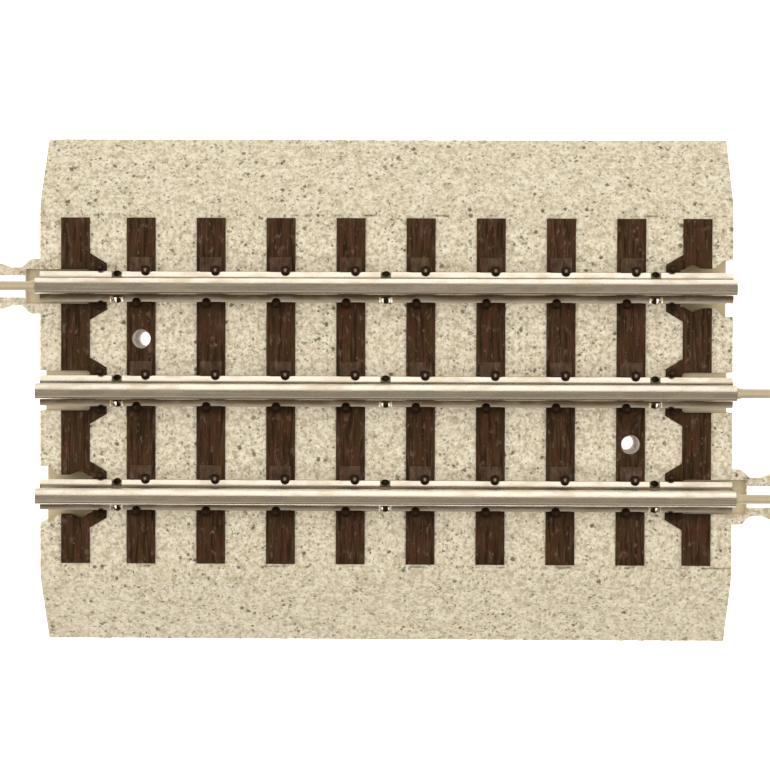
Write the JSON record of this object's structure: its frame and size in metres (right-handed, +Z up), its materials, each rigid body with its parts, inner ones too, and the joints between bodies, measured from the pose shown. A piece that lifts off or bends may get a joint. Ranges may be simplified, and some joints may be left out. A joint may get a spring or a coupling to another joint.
{
  "type": "model railway track section",
  "caption": "Straight three-rail model track section: hollow metal rails on brown ties in a moulded ballast roadbed, with rail pins and snap tongues at its ends.",
  "frame": {"origin": "centre of the footprint, on the surface that the roadbed stands on", "axes": "+X along the rails towards the end with two pins, +Y across the rails towards the rail whose pin is at the other end, +Z up"},
  "size_m": [0.1334, 0.0844, 0.0149],
  "materials": {
    "ballast_plastic": "speckled stone-grain moulded plastic",
    "tie_plastic": "wood-grained moulded plastic, slight sheen",
    "rail_metal": "nickel-plated rolled sheet",
    "pin_metal": "dull plated brass",
    "contact_metal": "tinned strip"
  },
  "bodies": {
    "root": {"roadbed": "ballast_plastic", "left_end_tie_rear_outer": "tie_plastic", "left_end_tie_rear_inner": "tie_plastic", "left_end_tie_front_inner": "tie_plastic", "left_end_tie_front_outer": "tie_plastic", "tie_2": "tie_plastic", "tie_3": "tie_plastic", "tie_4": "tie_plastic", "tie_5": "tie_plastic", "tie_6": "tie_plastic", "tie_7": "tie_plastic", "tie_8": "tie_plastic", "tie_9": "tie_plastic", "right_end_tie_rear_outer": "tie_plastic", "right_end_tie_rear_inner": "tie_plastic", "right_end_tie_front_inner": "tie_plastic", "right_end_tie_front_outer": "tie_plastic", "rail_rear": "rail_metal", "rail_center": "rail_metal", "rail_front": "rail_metal", "rail_pin_rear": "pin_metal", "rail_pin_center": "pin_metal", "rail_pin_front": "pin_metal", "feeder_tab_rear": "contact_metal", "feeder_tab_center": "contact_metal", "feeder_tab_front": "contact_metal", "outer_rail_jumper": "contact_metal"}
  },
  "joints": []
}
